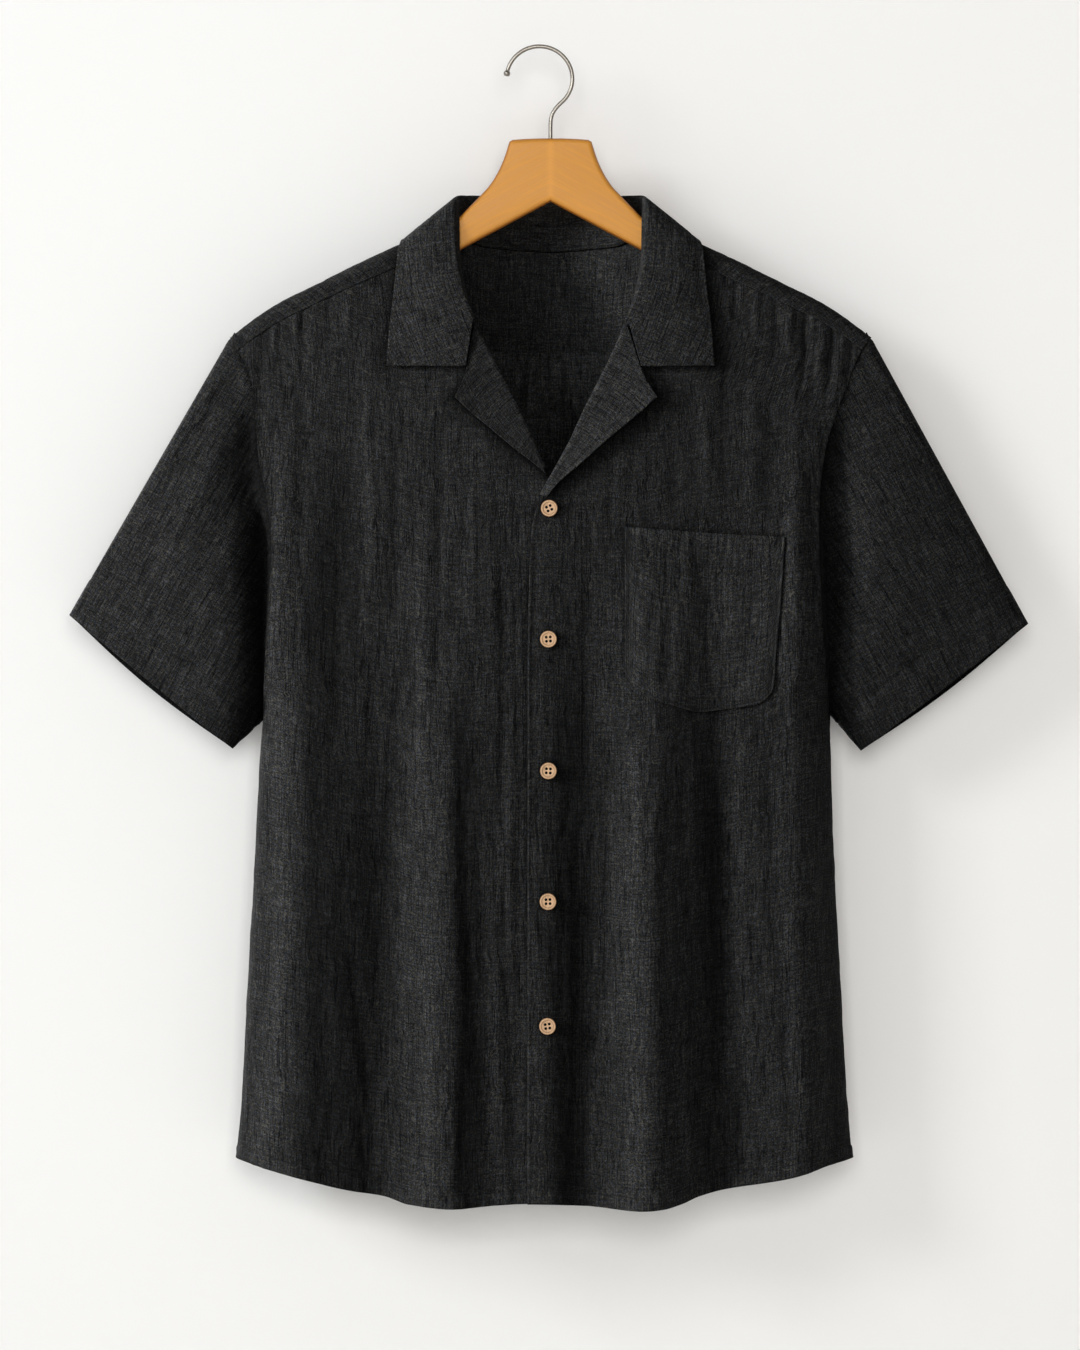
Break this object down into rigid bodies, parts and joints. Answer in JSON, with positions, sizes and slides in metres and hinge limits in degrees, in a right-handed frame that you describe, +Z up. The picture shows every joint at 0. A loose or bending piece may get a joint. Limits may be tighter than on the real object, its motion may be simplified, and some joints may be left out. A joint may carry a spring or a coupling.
{
  "type": "camp collar shirt on wooden hanger",
  "caption": "Loose short-sleeved camp collar shirt in charcoal crinkled cotton gauze, buttoned over a flat wooden hanger with a round metal hook",
  "frame": {"origin": "inside of the hook's top, where the rod that holds the hanger bears", "axes": "+Z up along the hung shirt, +X to the right seen from its front, +Y from its front to its back"},
  "size_m": [0.7383, 0.1138, 0.8905],
  "materials": {
    "cloth": "crinkled cotton gauze, charcoal",
    "pale_wood": "smooth matte",
    "honey_wood": "satin varnish",
    "nickel": "satin nickel"
  },
  "bodies": {
    "root": {"front_left": "cloth", "front_right": "cloth", "back": "cloth", "yoke": "cloth", "sleeve_left": "cloth", "sleeve_right": "cloth", "lapel_left": "cloth", "lapel_right": "cloth", "collar": "cloth", "pocket": "cloth", "button_1": "pale_wood", "button_2": "pale_wood", "button_3": "pale_wood", "button_4": "pale_wood", "button_5": "pale_wood", "hanger": "honey_wood", "hook": "nickel"}
  },
  "joints": []
}
